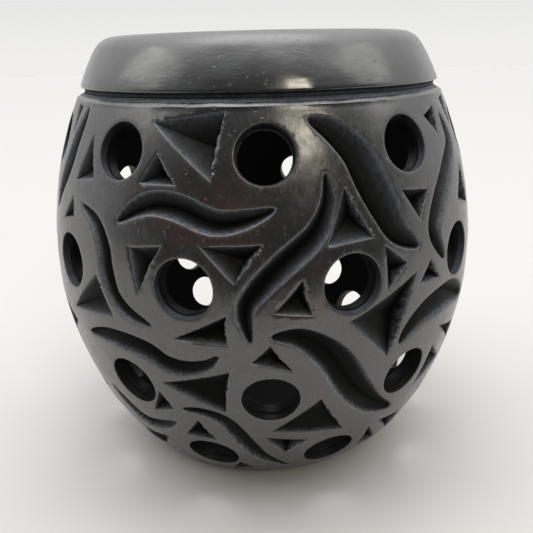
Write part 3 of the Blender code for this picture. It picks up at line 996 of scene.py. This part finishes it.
def mixed(tree, factor, first, second):
    """A colour output mixed, by the factor, with a colour of three numbers."""
    node = add_node(tree, "Mix", data_type="RGBA", Factor=factor)
    feed(tree, node.inputs[6], first)
    feed(tree, node.inputs[7], (*second, 1.0))
    return node.outputs[2]


def crumbs_and_edge_highlight(tree, place):
    """Where raw clay crumbles along an edge, pale crumbs that also carry a painted edge highlight: the worn
    stretches, broken up by grain.
    """
    grain = clouds(tree, place, scale=1400.0, detail=4.0, roughness=0.7)
    worn = arithmetic(tree, "POWER", attribute(tree, "wear"), 1.8)
    return arithmetic(tree, "MULTIPLY", worn, spread(tree, grain, 0.0, 1.0, 0.38, 0.62))


def dust(tree, place):
    """Scattered specks of pale dust, 1 on a speck."""
    cells = add_node(tree, "TexVoronoi", Vector=place, Scale=210.0)
    near = spread(tree, cells.outputs["Distance"], 1.0, 0.0, 0.02, 0.035)
    split = add_node(tree, "SeparateColor", Color=cells.outputs["Color"])
    chosen = spread(tree, split.outputs["Red"], 0.0, 1.0, 0.86, 0.88)
    return arithmetic(tree, "MULTIPLY", near, chosen)


def scratches(tree):
    """Short fine strokes where the knife slipped, in patches."""
    lines = clouds(tree, object_place(tree, (1.0, 1.0, 0.14)), scale=700.0, detail=1.0)
    stroke = ramp(tree, lines, greys([(0.49, 0.0), (0.5, 1.0), (0.51, 0.0), (1.0, 0.0)]))
    broad = clouds(tree, object_place(tree), scale=120.0, detail=2.0)
    return arithmetic(tree, "MULTIPLY", stroke, spread(tree, broad, 0.0, 1.0, 0.6, 0.64))


def burnished(name, roughness, smudging, stretch, warmth, bloom):
    """Polished black slip: a graphite sheen with strokes and smudges, small pits and a brown cast."""
    material, tree, shader = new_material(name)
    place = object_place(tree)
    broad = clouds(tree, place, scale=28.0, detail=3.0)
    fine = clouds(tree, object_place(tree, stretch), scale=420.0, detail=4.0)
    grain = clouds(tree, place, scale=2600.0, detail=3.0)
    pits = clouds(tree, place, scale=900.0, detail=1.0)
    dimples = clouds(tree, place, scale=75.0, detail=2.0)
    bands = clouds(tree, object_place(tree, (1.0, 1.0, 2.2)), scale=95.0, detail=4.0)
    smudges = clouds(tree, object_place(tree, (1.0, 1.0, 1.8)), scale=62.0, detail=5.0, roughness=0.6)
    casts = [(0.36, (0.006, 0.006, 0.007)), (0.54, (0.008, 0.008, 0.008)), (0.66, warmth)]
    colour = ramp(tree, broad, casts)
    colour = mixed(tree, spread(tree, bands, 0.0, 1.0, 0.46, 0.66), colour, bloom)
    # Pale crumbs along the worn edges, which also paint a highlight there.
    colour = mixed(tree, crumbs_and_edge_highlight(tree, place), colour, SKIN_CRUMBS_AND_HIGHLIGHT)
    colour = mixed(tree, dust(tree, place), colour, DUST)
    colour = mixed(tree, scratches(tree), colour, SCRATCHED)
    stroked = spread(tree, fine, roughness - 0.05, roughness + 0.05)
    smudged = spread(tree, smudges, -smudging, smudging, 0.38, 0.62)
    worn = arithmetic(tree, "MULTIPLY", attribute(tree, "wear"), 0.3)
    smooth = arithmetic(tree, "ADD", stroked, smudged)
    dents = ramp(tree, pits, greys([(0.0, 1.0), (0.27, 1.0), (0.3, 0.0), (1.0, 0.0)]))
    heights = [
        (dimples, 0.0009, 0.3), (fine, 0.00007, 0.35), (grain, 0.00001, 0.35), (dents, -0.00006, 0.6),
    ]
    feed(tree, shader.inputs["Base Color"], colour)
    feed(tree, shader.inputs["Roughness"], arithmetic(tree, "ADD", smooth, worn))
    feed(tree, shader.inputs["Normal"], bump(tree, heights))
    shader.inputs["IOR"].default_value = 2.0
    return material


def raw_cut(name, depths, roughness):
    """Clay as the knife left it: scraped and grey near the surface, with painted shade darkening it in the
    depths, lower on the pot and on facets that face down, and pale crumbling edges that also carry a
    painted highlight. Depths lists colours by how far in a point is, as for the carved finish."""
    material, tree, shader = new_material(name)
    place = object_place(tree)
    grain = clouds(tree, place, scale=1500.0, detail=4.0, roughness=0.65)
    broad = clouds(tree, place, scale=300.0, detail=3.0)
    scrape = clouds(tree, object_place(tree, (1.0, 1.0, 0.4)), scale=1700.0, detail=2.0)
    scraped = spread(tree, scrape, 0.0, 0.4, 0.44, 0.66)
    # Painted shade: the colour darkens the further in a point is and the lower it sits on the pot (the sunk
    # attribute), and on facets that face down.
    facing = upward(tree, add_node(tree, "TexCoord").outputs["Normal"])
    under = spread(tree, facing, 0.8, 0.0, -0.8, 0.35)
    uneven = arithmetic(tree, "ADD", attribute(tree, "sunk"), spread(tree, broad, -0.07, 0.07))
    colour = mixed(tree, scraped, ramp(tree, uneven, depths), DARK_STREAK_AND_PAINTED_SHADE)
    # Painted shade on facets that face down.
    colour = mixed(tree, under, colour, DARK_STREAK_AND_PAINTED_SHADE)
    # Pale crumbs along the worn edges, which also paint a highlight there.
    colour = mixed(tree, crumbs_and_edge_highlight(tree, place), colour, CUT_CRUMBS_AND_HIGHLIGHT)
    feed(tree, shader.inputs["Base Color"], colour)
    feed(tree, shader.inputs["Roughness"], spread(tree, grain, roughness - 0.08, roughness + 0.1))
    heights = [(scrape, 0.000035, 0.5), (grain, 0.00002, 0.5)]
    feed(tree, shader.inputs["Normal"], bump(tree, heights))
    shader.inputs["IOR"].default_value = 1.28
    shader.inputs["Specular IOR Level"].default_value = 0.3
    return material


# ---- The stage

# The room's soft light: how bright it is by how far a direction leans to the dark side in front of
# the pot, and how much brighter it gets towards the ceiling.
DARK_SIDE = (0.0, -0.985, -0.174)
SIDE_LIGHT = [
    (0.0, 0.85), (0.45, 0.82), (0.53, 0.64), (0.585, 0.48), (0.67, 0.24), (0.75, 0.16), (0.8, 0.10),
]
CEILING = [
    (0.0, 0.2), (0.5, 0.22), (0.63, 0.232), (0.75, 0.285),
    (0.85, 0.42), (0.93, 0.58), (0.97, 0.85), (1.0, 1.0),
]
ROOM_STRENGTH = 4.5
BACKDROP = [
    (0.0, (0.870, 0.862, 0.845)), (0.5, (0.870, 0.862, 0.845)),
    (0.54, (0.79, 0.79, 0.79)), (1.0, (0.75, 0.75, 0.75)),
]
TABLE_COLOUR = (0.595, 0.585, 0.57, 1.0)

# The lamps: name, place, width and height, watts and colour. All of them are aimed at the pot's belly.
LAMPS = [
    ("warm_lamp", (0.36, -0.78, 0.66), (0.28, 0.28), 1.75, (1.0, 0.93, 0.75)),
    ("window", (-0.94, -0.09, 0.84), (0.60, 0.50), 1.1, (1.0, 0.98, 0.94)),
    ("far_window", (0.94, -0.15, 0.84), (0.44, 0.46), 0.6, (1.0, 0.98, 0.92)),
]
LAMP_AIM = Vector((0.0, 0.0, 0.08))


def room_light(world):
    """Lights the pot by direction, and shows a plain pale backdrop behind it."""
    world.use_nodes = True
    tree = world.node_tree
    room = tree.nodes["Background"]
    place = add_node(tree, "TexCoord").outputs["Generated"]
    lean = add_node(tree, "VectorMath", operation="DOT_PRODUCT")
    feed(tree, lean.inputs[0], place)
    feed(tree, lean.inputs[1], DARK_SIDE)
    leaning = spread(tree, lean.outputs["Value"], 0.0, 1.0, -1.0, 1.0)
    rise = spread(tree, upward(tree, place), 0.0, 1.0, -1.0, 1.0)
    above = ramp(tree, rise, greys(CEILING))
    feed(tree, room.inputs["Color"], ramp(tree, leaning, greys(SIDE_LIGHT)))
    feed(tree, room.inputs["Strength"], arithmetic(tree, "MULTIPLY", above, ROOM_STRENGTH))
    backdrop = add_node(tree, "Background", Color=ramp(tree, rise, BACKDROP))
    seen = add_node(tree, "LightPath").outputs["Is Camera Ray"]
    choice = add_node(tree, "MixShader", Fac=seen)
    feed(tree, choice.inputs[1], room.outputs["Background"])
    feed(tree, choice.inputs[2], backdrop.outputs["Background"])
    feed(tree, tree.nodes["World Output"].inputs["Surface"], choice.outputs["Shader"])


def studio():
    """A plain pale table, the room's light and the lamps."""
    bpy.ops.mesh.primitive_plane_add(size=1.0, location=(0.0, 1.4, 0.0))
    table = bpy.context.object
    table.name = "table"
    table.scale = (4.0, 3.2, 1.0)
    material, _, shader = new_material("pale_table")
    shader.inputs["Base Color"].default_value = TABLE_COLOUR
    shader.inputs["Roughness"].default_value = 0.7
    table.data.materials.append(material)
    scene = bpy.context.scene
    scene.world = bpy.data.worlds.new("studio")
    room_light(scene.world)
    scene.view_settings.view_transform = "Standard"
    for lamp in LAMPS:
        area_light(*lamp)


def area_light(name, place, size, watts, colour):
    light = bpy.data.lights.new(name, "AREA")
    light.shape = "RECTANGLE"
    light.size, light.size_y = size
    light.energy = watts
    light.color = colour
    lamp = new_object(name, light)
    lamp.location = place
    lamp.rotation_euler = (LAMP_AIM - Vector(place)).to_track_quat("-Z", "Y").to_euler()


def camera():
    """Just below the rim's height, looking down a little, and slightly turned and rolled."""
    distance, height, heading = 0.15396, 0.10232, math.radians(0.87)
    pitch, turn, roll = math.radians(20.55), math.radians(1.16), math.radians(-1.40)
    place = Vector((-distance * math.sin(heading), -distance * math.cos(heading), height))
    ahead = Vector((math.sin(turn) * math.cos(pitch), math.cos(turn) * math.cos(pitch), -math.sin(pitch)))
    right = Vector((math.cos(turn), -math.sin(turn), 0.0))
    up = right.cross(ahead)
    across = right * math.cos(roll) + up * math.sin(roll)
    above = up * math.cos(roll) - right * math.sin(roll)
    data = bpy.data.cameras.new("camera")
    data.sensor_width = 36.0
    data.lens = 39.04
    data.clip_start = 0.005
    viewer = new_object("camera", data)
    axes = Matrix((across, above, -ahead)).transposed()
    viewer.matrix_world = Matrix.Translation(place) @ axes.to_4x4()
    bpy.context.scene.camera = viewer


def main():
    skin = burnished(
        "satin_black_clay", roughness=0.255, smudging=0.04, stretch=(2.6, 2.6, 1.0),
        warmth=(0.030, 0.014, 0.0115), bloom=(0.014, 0.0135, 0.013),
    )
    gloss = burnished(
        "burnished_black_clay", roughness=0.19, smudging=0.06, stretch=(1.0, 1.0, 3.5),
        warmth=(0.006, 0.005, 0.005), bloom=(0.022, 0.025, 0.028),
    )
    cut = raw_cut("carved_black_clay", CARVED_WITH_PAINTED_SHADE, roughness=0.5)
    bore = raw_cut("bored_black_clay", BORED_WITH_PAINTED_SHADE, roughness=0.42)
    inner = raw_cut("inner_black_clay", PLAIN, roughness=0.6)
    wall = wall_piece([skin, cut, bore, inner])
    collar = collar_piece([gloss, cut, inner])
    floor = floor_piece([inner])
    for piece, node, slot in (
        (wall, "pierced_wall", "satin_clay"),
        (collar, "rim_collar", "burnished_clay"),
        (floor, "base_floor", "plain_clay"),
    ):
        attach(piece, "root")
        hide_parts(node)
    studio()
    camera()


main()
